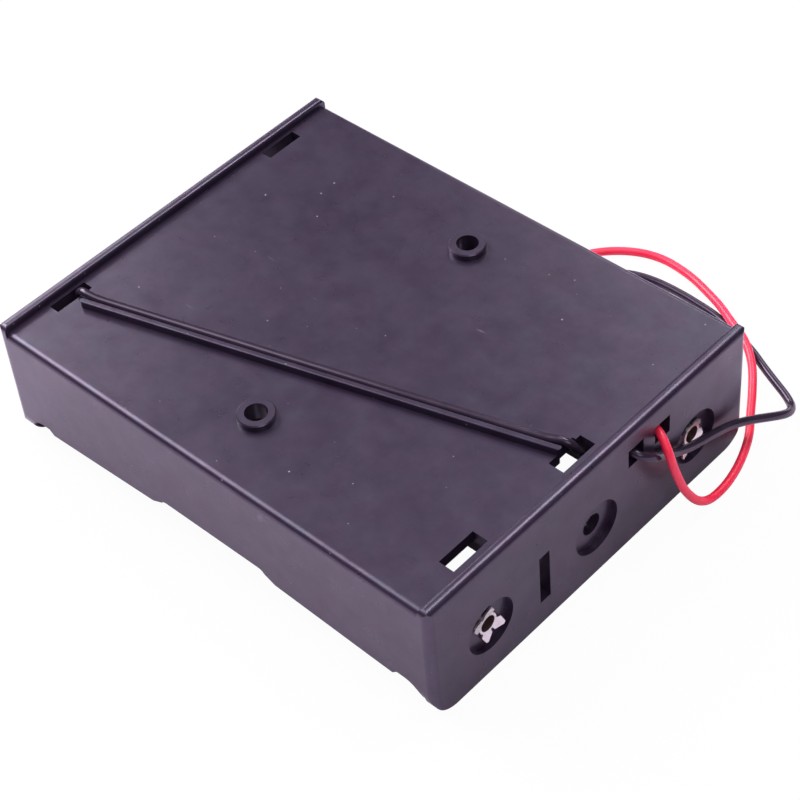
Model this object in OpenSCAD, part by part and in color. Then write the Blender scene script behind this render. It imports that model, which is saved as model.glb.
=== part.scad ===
// Holder for three cylindrical cells side by side, wired in series, with two flying leads.
// It stands open side down on its end walls: X runs along the cells, Y across them, Z up to
// the back plate. The origin is in the middle, level with the end walls' lower edges.

/* [Cells] */
// Diameter of one cell
cell_d = 18.4; // [17.6:0.1:22.4]
// Play between a cell and the walls of its bay, on each side
cell_play = 0.2; // [0.1:0.05:0.5]
// Height of the contacts' axes above the end walls' lower edges
contact_z = 8.4; // [7.8:0.1:9]

/* [Housing] */
// Length over the end walls
holder_l = 77; // [64:0.5:93]
// Height of the back plate's outer face
plate_z = 19.5; // [18.5:0.1:23.5]
// Thickness of the back plate
plate_t = 1.8; // [1.2:0.1:2.2]
// Thickness of the long side walls
side_t = 1; // [0.7:0.1:1.4]
// Thickness of the dividers between the bays
divider_t = 1.3; // [1:0.1:1.8]
// Thickness of the end walls
end_t = 2.2; // [1.8:0.1:2.7]
// Thickness of the lips that the end walls carry above the back plate
lip_t = 1.7; // [1.5:0.1:1.8]
// How far the +X end wall's outer part stands out beyond the side walls
end_proud = 0.2; // [0.1:0.1:0.6]
// Height of the -X end wall's lip above the back plate
lip_left = 1.1; // [0.5:0.1:1.4]
// Height of the +X end wall's lip above the back plate
lip_right = 0.7; // [0.4:0.1:1.4]
// Radius of the end walls' outer upper edges
edge_r = 0.9; // [0.4:0.1:1]
// Radius of the lips' inner upper edges
lip_inner_r = 0.5; // [0.2:0.1:0.5]
// Radius of the end walls' upright corners
corner_r = 1.2; // [0.4:0.1:1.4]
// Radius of the back plate's long edges
long_edge_r = 1; // [0.4:0.1:1.2]
// Radius of the end walls' lower corners
foot_r = 4; // [2:0.5:5]
// Radius in the bays' corners under the back plate
bay_corner_r = 1.2; // [0.5:0.1:1.4]

/* [Rims] */
// Height of the rims' lower edge near the end walls
rim_end_z = 3.7; // [3:0.1:4.2]
// Height of the rims' lower edge beside the finger relief
rim_mid_z = 4.8; // [4.3:0.1:5.2]
// Height of the finger relief in the middle of the rims
relief_z = 6.15; // [5.4:0.05:7]
// Half length of the finger relief
relief_half_l = 8.5; // [7:0.5:12]
// Length of the raised stretch of rim beside each end wall
rim_step_l = 4.2; // [3.6:0.1:6]
// Rise of that stretch
rim_step_h = 0.75; // [0.4:0.05:1]
// Radius where a rim runs down into an end wall
rim_fillet_r = 3; // [1:0.5:3.2]
// Height of the dividers' lower edges
divider_z = 5.45; // [4.8:0.05:6]

/* [Back plate] */
// Outer diameter of the mounting bosses
boss_d = 5.15; // [4.6:0.05:6.2]
// Height of the mounting bosses
boss_h = 1; // [0.6:0.1:1.4]
// Diameter of the mounting holes
boss_hole_d = 3.1; // [2.6:0.1:3.6]
// Width of the wire guide rib
rib_w = 0.9; // [0.7:0.1:1.2]
// Height of the wire guide rib
rib_h = 1.1; // [0.8:0.1:1.4]
// Length across the cells of the openings at the ends of the back plate
notch_w = 6.1; // [4.8:0.1:7.2]
// Length along the cells of the openings at the +X end
notch_right_l = 2.8; // [2.4:0.1:3.4]
// Length along the cells of the openings at the -X end
notch_left_l = 1.7; // [1.7:0.1:2.4]

/* [End walls] */
// Diameter of the round recess outside each contact
recess_d = 8.1; // [7:0.1:9.5]
// Depth of that recess
recess_depth = 0.9; // [0.5:0.1:1.1]
// Diameter of the rivet hole in each recess
rivet_hole_d = 3.2; // [3:0.1:3.6]
// Width of the slot where a contact strip passes a divider
slot_w = 1.95; // [1.6:0.05:2.4]
// Height of that slot
slot_h = 8.4; // [7:0.1:10]
// Side of the square holes that the leads leave by
lead_hole = 3; // [2.6:0.1:3.4]
// Height of the middle of those holes
lead_hole_z = 15.5; // [14.6:0.1:15.8]

/* [Contacts] */
// Thickness of the contact strips
strip_t = 0.4; // [0.3:0.05:0.5]
// Width and height of a spring's seat on its strip
seat_w = 10; // [9.6:0.1:11]
// Diameter of the hole in the middle of a spring's seat
seat_hole_d = 4.4; // [4:0.1:5]
// Height of the arm that joins two contacts
arm_h = 5; // [4:0.5:6.5]
// Outer diameter of a contact rivet's button
button_d = 6.4; // [5.5:0.1:7.5]
// Height of the button above its strip
button_h = 1.1; // [0.8:0.1:1.5]
// Diameter of the spring wire
spring_wire_d = 0.8; // [0.6:0.05:1]
// Outer diameter of a spring's first turn, at its seat
spring_base_d = 8.6; // [7.6:0.1:8.8]
// Outer diameter of a spring's last turn
spring_tip_d = 6.2; // [5:0.1:7]
// Free length of a spring
spring_l = 10.2; // [8:0.1:12]
// Number of turns in a spring, flat end turns included
spring_turns = 6; // [5:0.5:7]

/* [Leads] */
// Outer diameter of the leads' insulation
lead_d = 1.2; // [1:0.1:1.2]
// Diameter of the tinned strands
strand_d = 0.8; // [0.6:0.1:0.9]
// Length of the bare, tinned end of each lead
bare_l = 5; // [3:0.5:8]

/* [Hidden] */
$fn = 48;

// Small clearances: between loose faces, and of a cutter beyond what it cuts
gap = 0.05;
over = 1;

// The three bays lie at -pitch, 0 and +pitch
bay_w = cell_d + 2 * cell_play;
pitch = bay_w + divider_t;
tray_w = 3 * bay_w + 2 * divider_t + 2 * side_t;
inner_x = holder_l / 2 - end_t;
under_z = plate_z - plate_t;
divider_y = pitch / 2;

// The contacts stand against the end walls' inner faces
strip_x = inner_x - gap - strip_t;
seat_top_z = contact_z + seat_w / 2;

// Latches under the back plate's openings keep the strips upright
latch_w = 2.6;
latch_t = 0.5;
latch_reach = strip_t + 0.2;
latch_y = -1.8;
latch_over = 0.5;
latch_h = 2.2;
latch_clear = 0.15;
latch_chamfer = 0.4;

// The openings at the +X end stop short of the end wall; the middle one has a step on along
// the plate
notch_inset = 0.4;
step_notch_l = 0.5;
step_notch_y = [-0.9, 2.15];

// Profile of the rims between the finger relief and the raised stretches
relief_curve_r = 1.2;
relief_ramp_l = 2.8;
rim_ramp_l = 0.8;

// Holes that the leads leave by
lead_r = lead_d / 2;
black_hole_y = divider_y - 2.25;
red_hole_y = divider_y + 3.05;

// Solder tabs on the first and last contact plates, from their bays' middles, and the joints
tab_w = 2.2;
negative_tab_y = -pitch + 1.7;
negative_tab_top_z = 15.6;
positive_tab_y = pitch - 2.3;
positive_tab_top_z = 14.9;
solder_d = 3;
solder_sink = 0.5;
solder_below = 1.1;

// The rib on the back plate, and the lead that lies beside it
rib_from = [-32.7, -20.1];
rib_to = [33.3, -1.0];
rib_edge_r = 0.25;
boss_chamfer = 0.15;

// Splayed rivet petals: direction in degrees, reach from the rivet's axis
petals_1 = [[54, 3.2], [-12, 2.9], [-117, 3.1], [173, 2.9]];
petals_2 = [[20, 2.8], [92, 3], [164, 2.7], [236, 3.1], [308, 2.8]];
petals_3 = [[56, 2.4], [5, 2.8], [-41, 3.5], [-148, 2.4], [146, 2.3]];
petal_w = 1.9;
petal_root_w = 1.3;
petal_tip_w = 0.4;
petal_t = 0.3;
petal_tilt = 12;

// The black lead: from its solder joint up through the opening at the -X end, along the rib,
// down through the opening at the +X end, out of the end wall, and loose round the far corner
black_route = [
    [-35.0, -18.4, 13.6], [-35.0, -18.4, 15.2], [-35.2, -18.5, 16.6], [-35.45, -18.6, 17.8],
    [-35.5, -18.7, 18.9], [-35.3, -18.8, 19.7], [-34.7, -18.9, 20.3], [-33.9, -19.0, 20.5],
    [-33.0, -18.9, 20.4], [-31.9, -18.7, 20.25], [-30.0, -18.1, 20.15], [-27.2, -17.3, 20.15],
    [-19.2, -15.0, 20.15], [-11.2, -12.7, 20.15], [-3.2, -10.4, 20.15], [4.8, -8.1, 20.15],
    [12.8, -5.8, 20.15], [20.8, -3.4, 20.15], [27.2, -1.6, 20.15], [31.0, -0.4, 20.15],
    [32.8, 0.3, 20.4], [33.9, 0.9, 19.9], [34.4, 1.4, 18.8], [34.5, 2.1, 17.5],
    [34.6, 3.2, 16.5], [34.9, 5.1, 15.8], [35.8, 6.9, 15.5], [37.4, 7.7, 15.4],
    [39.0, 8.2, 15.0], [39.7, 10.0, 13.7], [39.5, 11.8, 12.3], [39.4, 14.0, 10.8],
    [39.5, 17.6, 9.1],
    [39.6, 21.8, 7.8], [39.7, 26.1, 6.2], [40.3, 29.4, 4.9], [41.4, 32.8, 3.5],
    [41.9, 34.9, 2.5], [41.9, 36.6, 1.6], [41.2, 38.2, 0.9], [39.4, 39.5, 0.7],
    [36.1, 41.0, 0.7], [32.7, 42.6, 0.7], [30.9, 43.5, 0.7], [27.0, 45.0, 0.7],
    [22.8, 46.1, 0.7], [19.3, 46.5, 0.7], [15.6, 46.7, 0.7], [11.4, 46.5, 0.7],
    [8.0, 45.6, 0.7], [5.2, 43.8, 0.7], [3.4, 41.0, 0.7], [3.0, 37.4, 0.7],
    [4.0, 33.4, 0.7], [6.0, 29.4, 0.7], [8.2, 25.2, 0.7], [9.8, 20.6, 0.7],
    [10.4, 15.6, 0.7], [9.8, 10.6, 0.7], [8.0, 5.8, 0.7], [5.6, 1.2, 0.7],
    [3.2, -3.4, 0.7], [1.2, -8.4, 0.7], [0.0, -13.8, 0.7], [-0.6, -19.8, 0.7]
];
// The red lead: from its solder joint out of the end wall and loose round the far corner
red_route = [
    [35.1, 17.7, 14.0], [35.1, 15.6, 14.9], [35.9, 13.6, 15.4], [37.3, 12.9, 15.6],
    [38.7, 12.4, 15.5], [39.9, 11.8, 15.0], [40.9, 11.4, 14.0], [41.4, 11.5, 12.3],
    [41.6, 12.2, 9.8], [41.9, 13.2, 6.8], [42.2, 14.4, 4.4], [42.5, 15.8, 2.4],
    [42.8, 17.8, 1.1], [42.8, 20.8, 0.8], [42.2, 24.2, 0.7], [41.1, 27.6, 0.7],
    [39.6, 30.8, 0.7], [37.6, 33.8, 0.7], [35.3, 37.3, 1.0], [32.6, 40.8, 1.7],
    [29.4, 43.4, 2.3], [26.0, 45.1, 2.3], [22.2, 47.4, 1.6], [18.6, 49.1, 1.0],
    [15.4, 50.3, 0.7], [12.4, 50.8, 0.7], [9.6, 50.9, 0.7], [6.8, 50.3, 0.7],
    [3.9, 48.8, 0.7], [1.2, 46.4, 0.7], [-0.9, 43.2, 0.7], [-2.5, 39.2, 0.7],
    [-3.8, 34.6, 0.7], [-5.0, 29.6, 0.7], [-6.2, 24.6, 0.7], [-7.4, 19.6, 0.7],
    [-8.6, 14.6, 0.7], [-10.0, 9.6, 0.7], [-11.4, 4.6, 0.7], [-12.6, -0.4, 0.7],
    [-13.6, -5.4, 0.7], [-14.4, -10.4, 0.7], [-15.0, -16.2, 0.7]
];

// ---------- helpers ----------

function unit(v) = v / norm(v);

// Tangents along a route, and one direction across it carried along without twist
function tangents(p) = [
    for (i = [0 : len(p) - 1]) unit(p[min(i + 1, len(p) - 1)] - p[max(i - 1, 0)])
];
function across(v, t) = unit(v - (v * t) * t);
function carried(t, start, i = 0, done = []) =
    i == len(t) ? done
    : carried(t, start, i + 1, concat(done, [across(i == 0 ? start : done[i - 1], t[i])]));

// A round tube of radius r with n sides along a route
module swept(route, r, n, start) {
    t = tangents(route);
    u = carried(t, start);
    m = len(route);
    points = [
        for (i = [0 : m - 1]) for (k = [0 : n - 1])
            let (a = 360 * k / n, v = cross(t[i], u[i]))
            route[i] + r * (cos(a) * u[i] + sin(a) * v)
    ];
    walls = [
        for (i = [0 : m - 2]) for (k = [0 : n - 1])
            let (j = (k + 1) % n)
            [i * n + k, (i + 1) * n + k, (i + 1) * n + j, i * n + j]
    ];
    first = [for (k = [0 : n - 1]) k];
    last = [for (k = [n - 1 : -1 : 0]) (m - 1) * n + k];
    polyhedron(points, concat([first, last], walls));
}

function arc_points(cx, cy, r, from, to, n = 8) = [
    for (i = [0 : n]) let (a = from + (to - from) * i / n) [cx + r * cos(a), cy + r * sin(a)]
];

// Drawn in the Y-Z plane and built along +X
module along_x(length) {
    rotate([90, 0, 90]) linear_extrude(length) children();
}

// Drawn in the X-Z plane and built both ways along Y
module along_y(length) {
    rotate([90, 0, 0]) linear_extrude(length, center = true) children();
}

// A rectangle from one corner to the opposite one, with a radius for each corner in turn:
// low-low, high-low, high-high, low-high
module rounded_rect(low, high, radii) {
    corners = [low, [high.x, low.y], high, [low.x, high.y]];
    inwards = [[1, 1], [-1, 1], [-1, -1], [1, -1]];
    polygon([
        for (i = [0 : 3]) for (leg = [0, 1])
            let (upright = (i + leg) % 2 == 0)
            corners[i] + radii[i] * [upright ? 0 : inwards[i].x, upright ? inwards[i].y : 0]
    ]);
    for (i = [0 : 3]) if (radii[i] > 0)
        translate(corners[i] + radii[i] * inwards[i]) circle(radii[i]);
}

// Places a contact's pieces at the end wall of a bay: x_side is -1 or 1, bay is -1, 0 or 1.
// Inside, +Z points from the wall's inner face into the bay.
module at_contact(bay, x_side) {
    translate([x_side * inner_x, bay * pitch, contact_z])
        rotate([0, -90 * x_side, 0]) children();
}

// ---------- housing ----------

module tray_outline() {
    rounded_rect([-tray_w / 2, 0], [tray_w / 2, plate_z],
        [foot_r, foot_r, long_edge_r, long_edge_r]);
}

module tray_section() {
    difference() {
        tray_outline();
        for (bay = [-1, 0, 1])
            translate([bay * pitch, 0])
                rounded_rect([-bay_w / 2, -over], [bay_w / 2, under_z],
                    [0, 0, bay_corner_r, bay_corner_r]);
    }
}

// The space under the side walls' rims, from end wall to end wall
module rim_space() {
    high = rim_end_z + rim_step_h;
    step_x = inner_x - rim_step_l;
    half = concat(
        [[0, -over], [0, relief_z], [relief_half_l, relief_z]],
        arc_points(relief_half_l, relief_z - relief_curve_r, relief_curve_r, 70, 35, 2),
        [
            [relief_half_l + relief_ramp_l, rim_mid_z], [step_x - rim_ramp_l, rim_end_z],
            [step_x, high],
            [inner_x - rim_fillet_r, high]
        ],
        arc_points(inner_x - rim_fillet_r, high - rim_fillet_r, rim_fillet_r, 75, 0, 5),
        [[inner_x, -over]]
    );
    polygon(half);
    mirror([1, 0]) polygon(half);
}

// The wall's inner part has the tray's outline; its outer part rises to the lip
module end_wall(x_side, lip, proud) {
    half_w = tray_w / 2 + proud;
    lip_x = holder_l / 2 - lip_t;
    lip_z = plate_z + lip;
    mirror([x_side > 0 ? 0 : 1, 0, 0]) {
        translate([inner_x, 0, 0]) along_x(lip_x - inner_x + gap) tray_outline();
        intersection() {
            translate([lip_x, 0, 0]) along_x(lip_t)
                rounded_rect([-half_w, 0], [half_w, lip_z], [foot_r, foot_r, edge_r, edge_r]);
            along_y(2 * half_w)
                rounded_rect([lip_x, 0], [holder_l / 2, lip_z], [0, 0, edge_r, lip_inner_r]);
            linear_extrude(lip_z)
                rounded_rect([lip_x, -half_w], [holder_l / 2, half_w], [0, corner_r, corner_r, 0]);
        }
    }
}

module wire_rib() {
    run = rib_to - rib_from;
    half_w = rib_w / 2;
    translate([rib_from.x, rib_from.y, plate_z]) rotate([0, 0, atan2(run.y, run.x)])
        intersection() {
            translate([-half_w, 0, 0]) along_x(norm(run) + rib_w)
                rounded_rect([-half_w, -gap], [half_w, rib_h], [0, 0, rib_edge_r, rib_edge_r]);
            translate([0, 0, -gap]) linear_extrude(rib_h + gap) {
                translate([0, -half_w]) square([norm(run), rib_w]);
                circle(half_w);
                translate([norm(run), 0]) circle(half_w);
            }
        }
}

module boss() {
    straight_h = boss_h - boss_chamfer;
    translate([0, 0, -gap]) cylinder(d = boss_d, h = straight_h + gap);
    translate([0, 0, straight_h])
        cylinder(d1 = boss_d, d2 = boss_d - 2 * boss_chamfer, h = boss_chamfer);
}

// Hook on the inside of an end wall: it keeps a strip's upper edge against the wall
module latch(bay, x_side) {
    low = seat_top_z - latch_over;
    reach = gap + latch_reach + latch_t;
    translate([0, bay * pitch + latch_y, 0]) along_y(latch_w)
        mirror([x_side > 0 ? 0 : 1, 0]) polygon([
            [inner_x + gap, seat_top_z + latch_clear],
            [inner_x - reach + latch_t, seat_top_z + latch_clear],
            [inner_x - reach + latch_t, low], [inner_x - reach, low + latch_chamfer],
            [inner_x - reach, seat_top_z + latch_h / 2], [inner_x + gap, seat_top_z + latch_h]
        ]);
}

module housing() {
    color([0.24, 0.22, 0.26]) difference() {
        union() {
            translate([-inner_x, 0, 0]) along_x(2 * inner_x) tray_section();
            end_wall(-1, lip_left, 0);
            end_wall(1, lip_right, end_proud);
            for (side = [-1, 1]) translate([0, side * pitch, plate_z]) boss();
            wire_rib();
            for (place = [[-1, -1], [1, -1], [-1, 1], [0, 1]]) latch(place[0], place[1]);
        }
        along_y(tray_w + over) rim_space();
        translate([-inner_x, -divider_y - divider_t, -over])
            cube([2 * inner_x, 2 * (divider_y + divider_t), divider_z + over]);
        for (side = [-1, 1])
            translate([0, side * pitch, under_z - over])
                cylinder(d = boss_hole_d, h = plate_t + boss_h + 2 * over);
        // openings in the back plate above the latches
        for (bay = [-1, 1])
            translate([-inner_x, bay * pitch - notch_w / 2, under_z - over])
                cube([notch_left_l, notch_w, plate_t + 2 * over]);
        for (bay = [-1, 0])
            translate([inner_x - notch_right_l, bay * pitch - notch_w / 2, under_z - over])
                cube([notch_right_l - notch_inset, notch_w, plate_t + 2 * over]);
        translate([inner_x - notch_right_l - step_notch_l, step_notch_y[0], under_z - over])
            cube([2 * step_notch_l, step_notch_y[1] - step_notch_y[0], plate_t + 2 * over]);
        // recesses and rivet holes, on all six contact places
        for (bay = [-1, 0, 1], x_side = [-1, 1])
            at_contact(bay, x_side) {
                translate([0, 0, -end_t - over]) cylinder(d = recess_d, h = recess_depth + over);
                translate([0, 0, -end_t - over]) cylinder(d = rivet_hole_d, h = end_t + 2 * over);
            }
        // slots where the strips pass the dividers, cut on into the dividers' ends
        for (x_side = [-1, 1])
            translate([x_side * (inner_x + end_t / 2), -x_side * divider_y, contact_z - 0.2])
                cube([end_t + 2 * over, slot_w, slot_h], center = true);
        for (hole_y = [black_hole_y, red_hole_y])
            translate([inner_x + end_t / 2, hole_y, lead_hole_z])
                cube([end_t + 2 * over, lead_hole, lead_hole], center = true);
    }
}

// ---------- contacts ----------

// A pointed petal along +X, widest two fifths of the way out
module petal_outline(length) {
    polygon([
        [0, -petal_root_w / 2], [0.4 * length, -petal_w / 2], [length, -petal_tip_w / 2],
        [length, petal_tip_w / 2], [0.4 * length, petal_w / 2], [0, petal_root_w / 2]
    ]);
}

// A riveted contact: a domed button inside, a tube through the wall, petals splayed outside
module rivet(bay, x_side, petals) {
    tube_r = rivet_hole_d / 2 - gap;
    bore_r = tube_r - 0.35;
    out = end_t - recess_depth + gap;
    seat = gap + strip_t + gap;
    color([0.83, 0.81, 0.80]) at_contact(bay, x_side) {
        rotate_extrude() difference() {
            union() {
                translate([0, seat]) square([button_d / 2 - 0.5, button_h]);
                translate([0, seat]) square([button_d / 2, button_h - 0.5]);
                translate([button_d / 2 - 0.5, seat + button_h - 0.5]) circle(0.5);
                translate([0, -out - petal_t]) square([tube_r, out + petal_t + seat + 0.1]);
            }
            translate([-over, -out - over]) square([bore_r + over, out + over]);
            translate([-button_d, -out - over]) square([button_d, 3 * end_t + 2 * over]);
        }
        for (petal = petals)
            rotate([0, 0, x_side > 0 ? 180 - petal[0] : petal[0]])
                translate([bore_r + gap, 0, -out]) rotate([0, petal_tilt, 0]) mirror([0, 0, 1])
                    linear_extrude(petal_t) petal_outline(petal[1] - bore_r);
    }
}

// A conical coil spring with a flat turn at each end
module spring(bay, x_side) {
    r0 = (spring_base_d - spring_wire_d) / 2;
    r1 = (spring_tip_d - spring_wire_d) / 2;
    z0 = gap + strip_t + 2 * gap + spring_wire_d / 2;
    z1 = spring_l - spring_wire_d / 2;
    steps = 18;
    rise = spring_turns - 2;
    coil = [
        for (i = [0 : spring_turns * steps])
            let (turn = i / steps, f = min(max(turn - 0.9, 0) / (rise + 0.2), 1),
                 r = r0 + (r1 - r0) * f, a = 360 * turn + 40)
            [r * cos(a), r * sin(a), z0 + (z1 - z0) * f]
    ];
    color([0.80, 0.79, 0.78]) at_contact(bay, x_side)
        swept(coil, spring_wire_d / 2, 6, [0, 0, 1]);
}

// Outline of a spring's seat, centred on its contact
module seat_outline() {
    half = seat_w / 2 * [1, 1];
    rounded_rect(-half, half, [1.2, 1.2, 1.2, 1.2]);
}

// A flat strip against an end wall, drawn in the Y-Z plane
module strip(x_side) {
    color([0.78, 0.77, 0.76])
        translate([x_side > 0 ? strip_x : -strip_x - strip_t, 0, 0]) along_x(strip_t) children();
}

// Strip from the positive contact of one bay to the spring of the next
module joining_outline(rivet_bay, spring_bay) {
    y0 = rivet_bay * pitch;
    y1 = spring_bay * pitch;
    difference() {
        union() {
            translate([y0, contact_z]) circle(d = button_d + 2);
            translate([min(y0, y1), contact_z - arm_h / 2]) square([pitch, arm_h]);
            translate([y1, contact_z]) seat_outline();
        }
        translate([y0, contact_z]) circle(d = rivet_hole_d);
        translate([y1, contact_z]) circle(d = seat_hole_d);
    }
}

module plate_negative() {
    strip(-1) difference() {
        union() {
            translate([-pitch, contact_z]) seat_outline();
            translate([negative_tab_y - tab_w / 2, contact_z])
                square([tab_w, negative_tab_top_z - contact_z]);
        }
        translate([-pitch, contact_z]) circle(d = seat_hole_d);
    }
}

module plate_positive() {
    strip(1) difference() {
        union() {
            translate([pitch, contact_z]) circle(d = button_d + 2);
            translate([positive_tab_y - tab_w / 2, contact_z])
                square([tab_w, positive_tab_top_z - contact_z]);
        }
        translate([pitch, contact_z]) circle(d = rivet_hole_d);
    }
}

// A blob of solder on a tab, round a lead's first millimetres
module solder(tab_y, tab_top_z, x_side) {
    color([0.72, 0.72, 0.74])
        translate([x_side * (strip_x - gap), tab_y, tab_top_z - solder_below])
            rotate([0, -90 * x_side, 0]) rotate_extrude() intersection() {
                translate([0, -solder_sink]) circle(d = solder_d);
                square(solder_d);
            }
}

// ---------- leads ----------

module lead(route, colour) {
    color(colour) swept(route, lead_r, 8, [0.1, 0.1, 1]);
}

// The bare end that sticks out beyond a lead's last point
module lead_tip(route) {
    last = route[len(route) - 1];
    dir = unit(last - route[len(route) - 2]);
    color([0.82, 0.80, 0.78])
        swept([last + gap * dir, last + bare_l * dir], strand_d / 2, 8, [0.1, 0.1, 1]);
}

housing();
rivet(-1, 1, petals_1);  // rivet_1
rivet(0, -1, petals_2);  // rivet_2
rivet(1, 1, petals_3);  // rivet_3
spring(-1, -1);  // spring_1
spring(0, 1);  // spring_2
spring(1, -1);  // spring_3
strip(1) joining_outline(-1, 0);  // strip_1_2
strip(-1) joining_outline(0, 1);  // strip_2_3
plate_negative();
plate_positive();
solder(negative_tab_y, negative_tab_top_z, -1);  // solder_negative
solder(positive_tab_y, positive_tab_top_z, 1);  // solder_positive
lead(black_route, [0.10, 0.09, 0.11]);  // black_lead
lead_tip(black_route);  // black_lead_tip
lead(red_route, [0.90, 0.08, 0.16]);  // red_lead
lead_tip(red_route);  // red_lead_tip
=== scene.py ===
import math

import bpy
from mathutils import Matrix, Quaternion, Vector


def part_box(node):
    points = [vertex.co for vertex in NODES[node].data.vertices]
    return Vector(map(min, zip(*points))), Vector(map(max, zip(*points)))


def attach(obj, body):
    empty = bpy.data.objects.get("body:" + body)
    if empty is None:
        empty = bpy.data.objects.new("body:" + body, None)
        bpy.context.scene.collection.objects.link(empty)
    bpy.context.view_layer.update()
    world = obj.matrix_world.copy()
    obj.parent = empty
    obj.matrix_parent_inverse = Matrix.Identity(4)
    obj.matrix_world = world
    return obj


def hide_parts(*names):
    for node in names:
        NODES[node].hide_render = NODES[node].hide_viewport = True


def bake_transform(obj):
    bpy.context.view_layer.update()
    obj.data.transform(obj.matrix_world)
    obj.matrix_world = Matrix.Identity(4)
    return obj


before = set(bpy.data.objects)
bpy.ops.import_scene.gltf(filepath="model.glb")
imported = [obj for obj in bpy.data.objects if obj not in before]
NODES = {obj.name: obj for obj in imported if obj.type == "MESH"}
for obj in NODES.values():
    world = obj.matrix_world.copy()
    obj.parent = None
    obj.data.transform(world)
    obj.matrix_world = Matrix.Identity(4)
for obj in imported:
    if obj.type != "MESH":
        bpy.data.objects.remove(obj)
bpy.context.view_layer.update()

MM = 0.001
HOLDER = "holder"

# ---------- the camera ----------

CAMERA_AZIMUTH = 46.685
CAMERA_ELEVATION = 45.83
CAMERA_ROLL = -5.712
CAMERA_DISTANCE = 295.37 * MM
CAMERA_TARGET = Vector((5.32, -0.18, 10)) * MM
LENS = 100.7
SENSOR = 36


def make_camera():
    a, e = math.radians(CAMERA_AZIMUTH), math.radians(CAMERA_ELEVATION)
    back = Vector((math.sin(a) * math.cos(e), -math.cos(a) * math.cos(e), math.sin(e)))
    data = bpy.data.cameras.new("camera")
    data.lens = LENS
    data.sensor_width = SENSOR
    data.clip_start = 0.01
    data.clip_end = 20
    camera = bpy.data.objects.new("camera", data)
    camera.location = CAMERA_TARGET + back * CAMERA_DISTANCE
    roll = Quaternion((0, 0, 1), math.radians(CAMERA_ROLL))
    camera.rotation_mode = "QUATERNION"
    camera.rotation_quaternion = (-back).to_track_quat("-Z", "Y") @ roll
    bpy.context.scene.collection.objects.link(camera)
    bpy.context.scene.camera = camera


make_camera()

# ---------- node materials ----------


class Shader:
    """A material's node tree, with short calls for the nodes used here."""

    def __init__(self, name):
        self.material = bpy.data.materials.new(name)
        self.material.use_nodes = True
        self.tree = self.material.node_tree
        self.surface = self.tree.nodes["Principled BSDF"]
        self.output = self.tree.nodes["Material Output"]
        self.place = self.node("ShaderNodeTexCoord").outputs["Object"]

    def node(self, kind, **settings):
        made = self.tree.nodes.new(kind)
        for name, value in settings.items():
            setattr(made, name, value)
        return made

    def link(self, source, target):
        self.tree.links.new(source, target)

    def set(self, name, value):
        self.surface.inputs[name].default_value = value

    def put(self, made, name, value):
        if isinstance(value, bpy.types.NodeSocket):
            self.link(value, made.inputs[name])
        else:
            made.inputs[name].default_value = value

    def mapped(self, scale=(1, 1, 1), turn=(0, 0, 0)):
        made = self.node("ShaderNodeMapping")
        self.link(self.place, made.inputs["Vector"])
        made.inputs["Scale"].default_value = scale
        made.inputs["Rotation"].default_value = [math.radians(t) for t in turn]
        return made.outputs["Vector"]

    def noise(self, scale, detail=3, rough=0.5, vector=None, distortion=0):
        made = self.node("ShaderNodeTexNoise")
        self.link(vector or self.place, made.inputs["Vector"])
        made.inputs["Scale"].default_value = scale
        made.inputs["Detail"].default_value = detail
        made.inputs["Roughness"].default_value = rough
        made.inputs["Distortion"].default_value = distortion
        return made.outputs["Fac"]

    def cells(self, scale):
        made = self.node("ShaderNodeTexVoronoi")
        self.link(self.place, made.inputs["Vector"])
        made.inputs["Scale"].default_value = scale
        return made

    def ramp(self, value, low, high, to_low=0.0, to_high=1.0):
        made = self.node("ShaderNodeMapRange")
        self.link(value, made.inputs["Value"])
        made.inputs["From Min"].default_value = low
        made.inputs["From Max"].default_value = high
        made.inputs["To Min"].default_value = to_low
        made.inputs["To Max"].default_value = to_high
        return made.outputs["Result"]

    def math(self, operation, a, b):
        made = self.node("ShaderNodeMath", operation=operation)
        self.put(made, 0, a)
        self.put(made, 1, b)
        return made.outputs[0]

    def mix(self, share, a, b, blend="MIX"):
        made = self.node("ShaderNodeMix", data_type="RGBA", blend_type=blend)
        self.put(made, "Factor", share)
        for index, value in ((6, a), (7, b)):
            if isinstance(value, bpy.types.NodeSocket):
                self.link(value, made.inputs[index])
            else:
                made.inputs[index].default_value = (*value, 1)
        return made.outputs[2]

    def colour(self, value):
        self.link(value, self.surface.inputs["Base Color"])

    def roughness(self, value):
        self.link(value, self.surface.inputs["Roughness"])

    def bump(self, heights):
        """Adds bumps of (height socket, depth in metres), one on another."""
        normal = None
        for height, depth in heights:
            made = self.node("ShaderNodeBump")
            made.inputs["Strength"].default_value = 1
            made.inputs["Distance"].default_value = depth
            self.link(height, made.inputs["Height"])
            if normal is not None:
                self.link(normal, made.inputs["Normal"])
            normal = made.outputs["Normal"]
        self.link(normal, self.surface.inputs["Normal"])

    def edges(self, radius, low=0.02, high=0.25):
        """A mask that is 1 on sharp edges, from the difference a rounding makes to the normal."""
        rounded = self.node("ShaderNodeBevel", samples=6)
        rounded.inputs["Radius"].default_value = radius
        flat = self.node("ShaderNodeNewGeometry").outputs["True Normal"]
        made = self.node("ShaderNodeVectorMath", operation="DOT_PRODUCT")
        self.link(rounded.outputs["Normal"], made.inputs[0])
        self.link(flat, made.inputs[1])
        return self.ramp(made.outputs["Value"], 1 - low, 1 - high)


def specks(shader, scale, size, share):
    """Small round flecks, one in some of the cells."""
    made = shader.cells(scale)
    near = shader.ramp(made.outputs["Distance"], size, size * 0.5)
    chosen = shader.node("ShaderNodeSeparateColor")
    shader.link(made.outputs["Color"], chosen.inputs["Color"])
    some = shader.ramp(chosen.outputs["Red"], share, share - 0.05)
    return shader.math("MULTIPLY", near, some)


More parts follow.
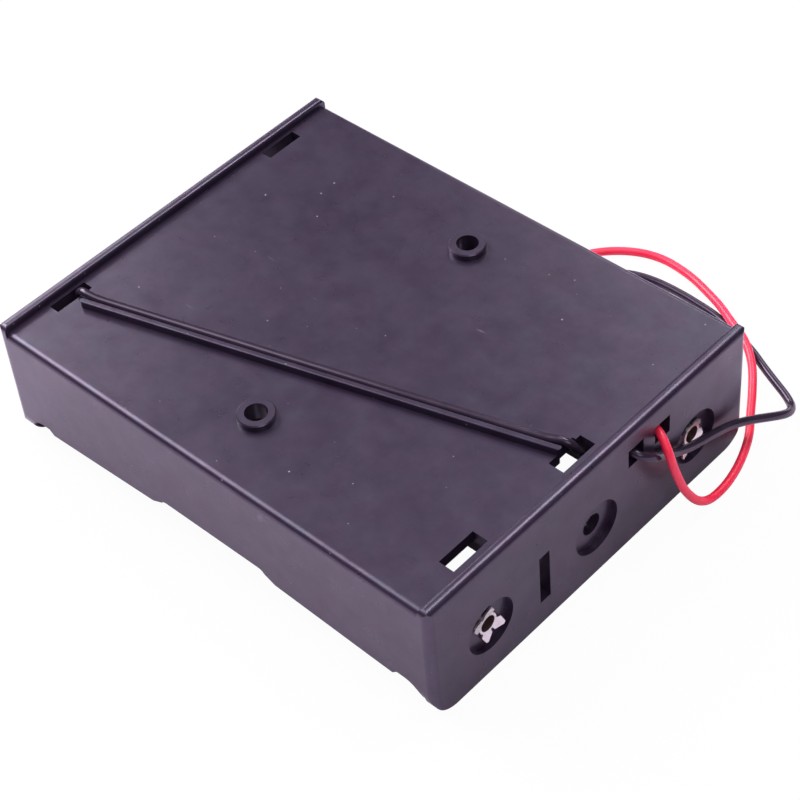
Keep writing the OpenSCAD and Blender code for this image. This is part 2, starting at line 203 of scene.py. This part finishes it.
def scratches(shader, turn, scale, thin, low, high):
    """Fine long marks along one direction."""
    vector = shader.mapped((scale, scale * thin, scale), (0, 0, turn))
    return shader.ramp(shader.noise(1, 2, 0.6, vector), low, high)


def plastic_material():
    """Black moulded plastic with a purple sheen, faint mottling and light dust specks.

    The export drops the linked specular level, so the mottled shine is in renders only.
    """
    s = Shader("moulded_black_plastic")
    mottle = s.ramp(s.noise(240, 5, 0.65), 0.40, 0.70)
    base = s.mix(mottle, (0.015, 0.008, 0.022), (0.020, 0.012, 0.030))
    base = s.mix(s.ramp(s.noise(45, 3, 0.5), 0.35, 0.7), base, (0.022, 0.013, 0.029))
    dust = s.math("MAXIMUM", specks(s, 330, 0.055, 0.40), specks(s, 760, 0.09, 0.09))
    scuffs = scratches(s, 24, 160, 5, 0.74, 0.80)
    light = s.math("MAXIMUM", dust, s.math("MULTIPLY", scuffs, 0.3))
    base = s.mix(s.math("MULTIPLY", light, 0.8), base, (0.27, 0.24, 0.30))
    worn = s.math("MULTIPLY", s.edges(0.15 * MM), s.ramp(s.noise(900, 3), 0.35, 0.6, 0.03, 0.3))
    base = s.mix(worn, base, (0.10, 0.09, 0.12))
    s.colour(base)
    s.roughness(s.ramp(s.noise(420, 4, 0.6), 0.3, 0.7, 0.27, 0.31))
    s.set("IOR", 1.5)
    shine = s.ramp(s.noise(230, 6, 0.68), 0.36, 0.64, 0.62, 0.84)
    s.link(shine, s.surface.inputs["Specular IOR Level"])
    hue = s.ramp(s.noise(190, 4, 0.6, distortion=0.6), 0.42, 0.58)
    s.link(s.mix(hue, (0.89, 0.70, 1.0), (0.80, 0.74, 1.0)), s.surface.inputs["Specular Tint"])
    s.bump([(s.noise(160, 3), 0.03 * MM), (s.noise(5200, 3, 0.6), 0.003 * MM)])
    return s.material


def metal_material(name, tint, dark, rough_low, rough_high, stain=0.5):
    s = Shader(name)
    s.set("Metallic", 1)
    patches = s.ramp(s.noise(900, 4, 0.6), 0.45, 0.75)
    base = s.mix(s.math("MULTIPLY", patches, stain), tint, dark)
    pits = specks(s, 2600, 0.12, 0.25)
    base = s.mix(s.math("MULTIPLY", pits, 0.5), base, dark)
    s.colour(base)
    s.roughness(s.ramp(s.noise(1800, 4, 0.6), 0.3, 0.7, rough_low, rough_high))
    drawn = s.noise(1, 3, 0.6, s.mapped((400, 9000, 400)))
    s.bump([(s.noise(1400, 3), 0.02 * MM), (drawn, 0.004 * MM)])
    return s.material


def insulation_material(name, tint, deep, fleck, sheen, rough):
    s = Shader(name)
    base = s.mix(s.ramp(s.noise(300, 3), 0.35, 0.65), tint, deep)
    dust = specks(s, 1500, 0.09, 0.10)
    base = s.mix(s.math("MULTIPLY", dust, 0.6), base, fleck)
    s.colour(base)
    s.roughness(s.ramp(s.noise(900, 3), 0.3, 0.7, rough, rough * 1.3))
    s.set("IOR", 1.5)
    s.set("Specular Tint", (*sheen, 1))
    s.bump([(s.noise(500, 3), 0.012 * MM), (s.noise(5000, 2), 0.002 * MM)])
    return s.material


PLASTIC = plastic_material()
NICKEL = metal_material("nickel_plate", (0.95, 0.90, 0.90), (0.45, 0.34, 0.30), 0.26, 0.42, 0.25)
SPRING_STEEL = metal_material(
    "nickelled_spring_wire", (0.82, 0.79, 0.79), (0.40, 0.34, 0.31), 0.2, 0.36,
)
SOLDER = metal_material("solder", (0.66, 0.66, 0.68), (0.40, 0.39, 0.38), 0.28, 0.45)
TINNED = metal_material("tinned_strands", (0.78, 0.76, 0.74), (0.55, 0.42, 0.32), 0.22, 0.38)
RED = insulation_material(
    "red_insulation", tint=(1.0, 0.030, 0.090), deep=(0.98, 0.020, 0.070),
    fleck=(0.95, 0.50, 0.55), sheen=(1, 0.9, 0.95), rough=0.30,
)
BLACK = insulation_material(
    "black_insulation", tint=(0.021, 0.013, 0.026), deep=(0.029, 0.019, 0.035),
    fleck=(0.16, 0.13, 0.18), sheen=(0.90, 0.72, 1), rough=0.15,
)

TARNISHED = metal_material("tarnished_bore", (0.30, 0.22, 0.20), (0.10, 0.07, 0.06), 0.35, 0.5)

BAY_PITCH = 20.1 * MM
BAY_Y = {"rivet_1": -BAY_PITCH, "rivet_2": 0, "rivet_3": BAY_PITCH}
CONTACT_Z = 8.4 * MM
BORE_R = 1.24 * MM

LOOKS = {
    "housing": PLASTIC,
    "rivet_1": NICKEL,
    "rivet_2": NICKEL,
    "rivet_3": NICKEL,
    "strip_1_2": NICKEL,
    "strip_2_3": NICKEL,
    "plate_negative": NICKEL,
    "plate_positive": NICKEL,
    "solder_negative": SOLDER,
    "solder_positive": SOLDER,
}


def paint(obj, material):
    obj.data.materials.clear()
    obj.data.materials.append(material)


for name, material in LOOKS.items():
    paint(NODES[name], material)


def darken_bore(rivet):
    """Gives the faces inside a rivet's tube a tarnished metal."""
    rivet.data.materials.append(TARNISHED)
    middle = Vector((0, BAY_Y[rivet.name], CONTACT_Z))
    for face in rivet.data.polygons:
        centre = rivet.matrix_world @ face.center - middle
        if math.hypot(centre.y, centre.z) < BORE_R:
            face.material_index = 1


for name in BAY_Y:
    darken_bore(NODES[name])

# ---------- shapes ----------


def mesh_object(name, points, faces, material, body=HOLDER, smooth=True):
    mesh = bpy.data.meshes.new(name)
    mesh.from_pydata([tuple(p) for p in points], [], faces)
    mesh.validate()
    if smooth:
        mesh.shade_smooth()
    obj = bpy.data.objects.new(name, mesh)
    bpy.context.scene.collection.objects.link(obj)
    paint(obj, material)
    if body:
        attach(obj, body)
    return obj


def smooth_line(points, step):
    """Points about step apart on a smooth curve through the given ones."""
    line = []
    count = len(points)
    for i in range(count - 1):
        before, a, b, after = (points[max(0, min(count - 1, i + k))] for k in (-1, 0, 1, 2))
        pieces = max(1, round((b - a).length / step))
        for k in range(pieces):
            t = k / pieces
            line.append(
                0.5 * (
                    2 * a + (b - before) * t
                    + (2 * before - 5 * a + 4 * b - after) * t * t
                    + (3 * a - before - 3 * b + after) * t ** 3
                )
            )
    return line + [points[-1]]


def eased(line, rounds):
    """The same line with its sharpest bends softened; its ends stay."""
    for _ in range(rounds):
        middle = [(a + 2 * b + c) / 4 for a, b, c in zip(line, line[1:], line[2:])]
        line = [line[0], *middle, line[-1]]
    return line


def tube(line, radius, sides):
    """Points and faces of a closed round tube along a line, carried along without twist."""
    points, faces = [], []
    across = Vector((0.1, 0.1, 1))
    last = len(line) - 1
    for i, centre in enumerate(line):
        ahead = (line[min(i + 1, last)] - line[max(i - 1, 0)]).normalized()
        across = (across - across.dot(ahead) * ahead).normalized()
        side = ahead.cross(across)
        for k in range(sides):
            a = math.tau * k / sides
            points.append(centre + radius * (math.cos(a) * across + math.sin(a) * side))
    for i in range(last):
        for k in range(sides):
            j = (k + 1) % sides
            faces.append((i * sides + k, i * sides + j, (i + 1) * sides + j, (i + 1) * sides + k))
    faces.append(tuple(range(sides - 1, -1, -1)))
    faces.append(tuple(last * sides + k for k in range(sides)))
    return points, faces


# ---------- the leads ----------

LEAD_D = 1.2 * MM
BARE_L = 5 * MM
LINE_STEP = 0.35 * MM
EASE_ROUNDS = 8
LEAD_SIDES = 16
# Points of part.scad's routes, in millimetres
BLACK_HELD = [
    (-35.0, -18.4, 13.6), (-35.0, -18.4, 15.2), (-35.2, -18.5, 16.6), (-35.45, -18.6, 17.8),
    (-35.5, -18.7, 18.9), (-35.3, -18.8, 19.7), (-34.7, -18.9, 20.3), (-33.9, -19.0, 20.5),
    (-33.0, -18.9, 20.4), (-31.9, -18.7, 20.25), (-30.0, -18.1, 20.15), (-27.2, -17.3, 20.15),
    (-19.2, -15.0, 20.15), (-11.2, -12.7, 20.15), (-3.2, -10.4, 20.15), (4.8, -8.1, 20.15),
    (12.8, -5.8, 20.15), (20.8, -3.4, 20.15), (27.2, -1.6, 20.15), (31.0, -0.4, 20.15),
    (32.8, 0.3, 20.4), (33.9, 0.9, 19.9), (34.4, 1.4, 18.8), (34.5, 2.1, 17.5), (34.6, 3.2, 16.5),
    (34.9, 5.1, 15.8), (35.8, 6.9, 15.5), (37.4, 7.7, 15.4),
]
BLACK_FREE = [
    (37.4, 7.7, 15.4), (39.0, 8.2, 15.0), (39.7, 10.0, 13.7), (39.5, 11.8, 12.3),
    (39.4, 14.0, 10.8), (39.5, 17.6, 9.1), (39.6, 21.8, 7.8), (39.7, 26.1, 6.2),
    (40.3, 29.4, 4.9), (41.4, 32.8, 3.5), (41.9, 34.9, 2.5), (41.9, 36.6, 1.6), (41.2, 38.2, 0.9),
    (39.4, 39.5, 0.7), (36.1, 41.0, 0.7), (32.7, 42.6, 0.7), (30.9, 43.5, 0.7), (27.0, 45.0, 0.7),
    (22.8, 46.1, 0.7), (19.3, 46.5, 0.7), (15.6, 46.7, 0.7), (11.4, 46.5, 0.7), (8.0, 45.6, 0.7),
    (5.2, 43.8, 0.7), (3.4, 41.0, 0.7), (3.0, 37.4, 0.7), (4.0, 33.4, 0.7), (6.0, 29.4, 0.7),
    (8.2, 25.2, 0.7), (9.8, 20.6, 0.7), (10.4, 15.6, 0.7), (9.8, 10.6, 0.7), (8.0, 5.8, 0.7),
    (5.6, 1.2, 0.7), (3.2, -3.4, 0.7), (1.2, -8.4, 0.7), (0.0, -13.8, 0.7), (-0.6, -19.8, 0.7),
]
RED_HELD = [
    (35.1, 17.7, 14.0), (35.1, 15.6, 14.9), (35.9, 13.6, 15.4), (37.3, 12.9, 15.6),
]
RED_FREE = [
    (37.3, 12.9, 15.6), (38.7, 12.4, 15.5), (39.9, 11.8, 15.0), (40.9, 11.4, 14.0),
    (41.4, 11.5, 12.3), (41.6, 12.2, 9.8), (41.9, 13.2, 6.8), (42.2, 14.4, 4.4),
    (42.5, 15.8, 2.4), (42.8, 17.8, 1.1), (42.8, 20.8, 0.8), (42.2, 24.2, 0.7), (41.1, 27.6, 0.7),
    (39.6, 30.8, 0.7), (37.6, 33.8, 0.7), (35.3, 37.3, 1.0), (32.6, 40.8, 1.7), (29.4, 43.4, 2.3),
    (26.0, 45.1, 2.3), (22.2, 47.4, 1.6), (18.6, 49.1, 1.0), (15.4, 50.3, 0.7), (12.4, 50.8, 0.7),
    (9.6, 50.9, 0.7), (6.8, 50.3, 0.7), (3.9, 48.8, 0.7), (1.2, 46.4, 0.7), (-0.9, 43.2, 0.7),
    (-2.5, 39.2, 0.7), (-3.8, 34.6, 0.7), (-5.0, 29.6, 0.7), (-6.2, 24.6, 0.7), (-7.4, 19.6, 0.7),
    (-8.6, 14.6, 0.7), (-10.0, 9.6, 0.7), (-11.4, 4.6, 0.7), (-12.6, -0.4, 0.7),
    (-13.6, -5.4, 0.7), (-14.4, -10.4, 0.7), (-15.0, -16.2, 0.7),
]


def metres(points):
    return [Vector(p) * MM for p in points]


def lead(colour, held, free, material):
    """The held stretch inside the holder, the free cord and its twisted, tinned end."""
    line = eased(smooth_line(metres(held + free[1:]), LINE_STEP), EASE_ROUNDS)
    split = next(i for i, p in enumerate(line) if p.x >= held[-1][0] * MM)
    held_line, free_line = line[:split + 1], line[split:]
    inner = mesh_object(f"{colour}_lead_held", *tube(held_line, LEAD_D / 2, LEAD_SIDES), material)
    outer = mesh_object(f"{colour}_lead_free", *tube(free_line, LEAD_D / 2, LEAD_SIDES), material)
    tip = strands(f"{colour}_lead_strands", free_line)
    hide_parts(f"{colour}_lead")
    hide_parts(f"{colour}_lead_tip")


STRANDS_ROUND = 6
STRAND_R = 0.13 * MM
STRAND_RING_R = 0.25 * MM
STRAND_RING_CLOSES = 0.15
STRAND_TURNS = 2.2
STRAND_STEPS = 40
STRAND_SIDES = 8
STRAND_OVERLAP = 0.6 * MM


def strands(name, line):
    """Seven thin wires twisted together, as long as the lead's bare end."""
    ahead = (line[-1] - line[-4]).normalized()
    across = Vector((0, 0, 1))
    side = ahead.cross(across)
    start = line[-1] - ahead * STRAND_OVERLAP
    length = BARE_L + STRAND_OVERLAP
    points, faces = [], []
    for k in range(STRANDS_ROUND + 1):
        wire = []
        for i in range(STRAND_STEPS + 1):
            t = i / STRAND_STEPS
            a = math.tau * (k / STRANDS_ROUND + STRAND_TURNS * t)
            r = 0 if k == STRANDS_ROUND else STRAND_RING_R * (1 - STRAND_RING_CLOSES * t)
            offset = r * (math.cos(a) * across + math.sin(a) * side)
            wire.append(start + ahead * (length * t) + offset)
        more, quads = tube(wire, STRAND_R, STRAND_SIDES)
        faces += [tuple(len(points) + v for v in face) for face in quads]
        points += more
    return mesh_object(name, points, faces, TINNED)


lead("black", BLACK_HELD, BLACK_FREE, BLACK)
lead("red", RED_HELD, RED_FREE, RED)

# ---------- the springs ----------

SPRING_WIRE_D = 0.8 * MM
SPRING_TURNS = 6
SPRING_TAPER = 1.2 * MM
SPRING_FIRST_ANGLE = math.radians(40)
SPRING_STEPS = 48
SPRING_SIDES = 14


def climb(turn, closed):
    """How far up the coil a turn is: each end turn climbs one wire, the rest evenly."""
    if turn < 1:
        return closed * turn
    if turn > SPRING_TURNS - 1:
        return 1 - closed * (SPRING_TURNS - turn)
    return closed + (1 - 2 * closed) * (turn - 1) / (SPRING_TURNS - 2)


def spring(number, wall_side):
    """A conical coil with closed end turns, from the wall to the tip of the spring part.

    It is stretched evenly, so its closed end turns run into each other when it is pressed.
    """
    name = f"spring_{number}"
    low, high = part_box(name)
    middle = (low + high) / 2
    wall_x = low.x if wall_side < 0 else high.x
    tip_x = high.x if wall_side < 0 else low.x
    base_r = (high.y - low.y - SPRING_WIRE_D) / 2
    tip_r = base_r - SPRING_TAPER
    start_x = wall_x - wall_side * SPRING_WIRE_D / 2
    end_x = tip_x + wall_side * SPRING_WIRE_D / 2
    closed = SPRING_WIRE_D / abs(end_x - start_x)
    line = []
    for i in range(SPRING_TURNS * SPRING_STEPS + 1):
        turn = i / SPRING_STEPS
        share = climb(turn, closed)
        r = base_r + (tip_r - base_r) * share
        a = math.tau * turn + SPRING_FIRST_ANGLE
        offset = Vector((0, r * math.cos(a), -wall_side * r * math.sin(a)))
        line.append(Vector((start_x + (end_x - start_x) * share, middle.y, middle.z)) + offset)
    coil = tube(line, SPRING_WIRE_D / 2, SPRING_SIDES)
    piece = mesh_object(f"{name}_coil", *coil, SPRING_STEEL, body=None)
    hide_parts(name)
    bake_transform(piece)


for number, wall_side in ((1, -1), (2, 1), (3, -1)):
    spring(number, wall_side)

# ---------- floor, background and light ----------

FLOOR_COLOUR = (0.76, 0.66, 0.80, 1)
FLOOR_WHITE_SEEN = 0.96
FLOOR_WHITE_IN_GLOSS = 0.04
FLOOR_HALF = 3


def make_floor():
    """A floor that keeps a faint shadow, is mostly white to the camera, and is clear from below.

    Its own colour is a pale violet, which the object reflects.
    """
    s = Shader("pale_floor")
    s.set("Base Color", FLOOR_COLOUR)
    s.set("Roughness", 0.9)
    s.set("Specular IOR Level", 0.1)
    white = s.node("ShaderNodeEmission")
    path = s.node("ShaderNodeLightPath")
    seen = s.math("MAXIMUM", path.outputs["Is Camera Ray"], path.outputs["Is Transmission Ray"])
    share = s.math(
        "MAXIMUM",
        s.math("MULTIPLY", seen, FLOOR_WHITE_SEEN),
        s.math("MULTIPLY", path.outputs["Is Glossy Ray"], FLOOR_WHITE_IN_GLOSS),
    )
    mixed = s.node("ShaderNodeMixShader")
    s.link(share, mixed.inputs[0])
    s.link(s.surface.outputs[0], mixed.inputs[1])
    s.link(white.outputs[0], mixed.inputs[2])
    sided = s.node("ShaderNodeMixShader")
    s.link(s.node("ShaderNodeNewGeometry").outputs["Backfacing"], sided.inputs[0])
    s.link(mixed.outputs[0], sided.inputs[1])
    s.link(s.node("ShaderNodeBsdfTransparent").outputs[0], sided.inputs[2])
    s.link(sided.outputs[0], s.output.inputs["Surface"])
    half = FLOOR_HALF
    floor = mesh_object(
        "floor",
        [(-half, -half, 0), (half, -half, 0), (half, half, 0), (-half, half, 0)],
        [(0, 1, 2, 3)], s.material, body=None, smooth=False,
    )


WORLD_LOW = 0.1
WORLD_HIGH = 0.75
WORLD_BELOW = 0.8


def make_world():
    """A white background, and round the object a room that is bright overhead and below."""
    world = bpy.data.worlds.new("studio")
    bpy.context.scene.world = world
    world.use_nodes = True
    tree = world.node_tree
    background = tree.nodes["Background"]

    def node(kind, **settings):
        made = tree.nodes.new(kind)
        for name, value in settings.items():
            setattr(made, name, value)
        return made

    height = node("ShaderNodeSeparateXYZ")
    tree.links.new(node("ShaderNodeTexCoord").outputs["Generated"], height.inputs[0])
    room = node("ShaderNodeMapRange", interpolation_type="SMOOTHSTEP")
    room.inputs["From Min"].default_value = 0.55
    room.inputs["From Max"].default_value = 0.95
    room.inputs["To Min"].default_value = WORLD_LOW
    room.inputs["To Max"].default_value = WORLD_HIGH
    tree.links.new(height.outputs["Z"], room.inputs["Value"])
    below = node("ShaderNodeMapRange")
    below.inputs["From Min"].default_value = -0.05
    below.inputs["From Max"].default_value = -0.30
    below.inputs["To Max"].default_value = WORLD_BELOW
    tree.links.new(height.outputs["Z"], below.inputs["Value"])
    around = node("ShaderNodeMath", operation="ADD")
    tree.links.new(room.outputs["Result"], around.inputs[0])
    tree.links.new(below.outputs["Result"], around.inputs[1])
    path = node("ShaderNodeLightPath")
    seen = node("ShaderNodeMath", operation="MAXIMUM")
    tree.links.new(path.outputs["Is Camera Ray"], seen.inputs[0])
    tree.links.new(path.outputs["Is Transmission Ray"], seen.inputs[1])
    level = node("ShaderNodeMath", operation="MAXIMUM")
    tree.links.new(seen.outputs[0], level.inputs[0])
    tree.links.new(around.outputs[0], level.inputs[1])
    tree.links.new(level.outputs[0], background.inputs["Strength"])
    background.inputs["Color"].default_value = (1, 1, 1, 1)


def area_light(name, place, target, size, power):
    data = bpy.data.lights.new(name, "AREA")
    data.shape = "RECTANGLE"
    data.size, data.size_y = size
    data.energy = power
    lamp = bpy.data.objects.new(name, data)
    lamp.location = place
    lamp.rotation_mode = "QUATERNION"
    lamp.rotation_quaternion = (Vector(target) - Vector(place)).to_track_quat("-Z", "Y")
    bpy.context.scene.collection.objects.link(lamp)


make_floor()
make_world()
area_light("overhead", (-0.10, 0.05, 1.0), (0, 0, 0), (0.3, 0.3), 1.2)
area_light("far_left", (-0.82, -0.12, 0.62), (-0.02, 0, 0), (0.55, 0.55), 8.0)
area_light("left", (-0.76, 0.25, 0.47), (-0.02, 0, 0), (0.30, 0.30), 2.5)
area_light("near_left", (-0.22, -0.11, 0.30), (-0.04, -0.04, 0), (0.24, 0.24), 0.62)
area_light("back_right", (-0.30, 0.72, 0.55), (0.01, 0.01, 0), (0.35, 0.35), 1.35)
area_light("right", (0.60, -0.20, 0.55), (0.04, 0.02, 0), (0.4, 0.4), 1.3)
area_light("edge", (0.07, 0.44, 0.80), (0.04, 0, 0.02), (0.40, 0.22), 3.0)

# ---------- finish ----------

scene = bpy.context.scene
scene.view_settings.view_transform = "Standard"
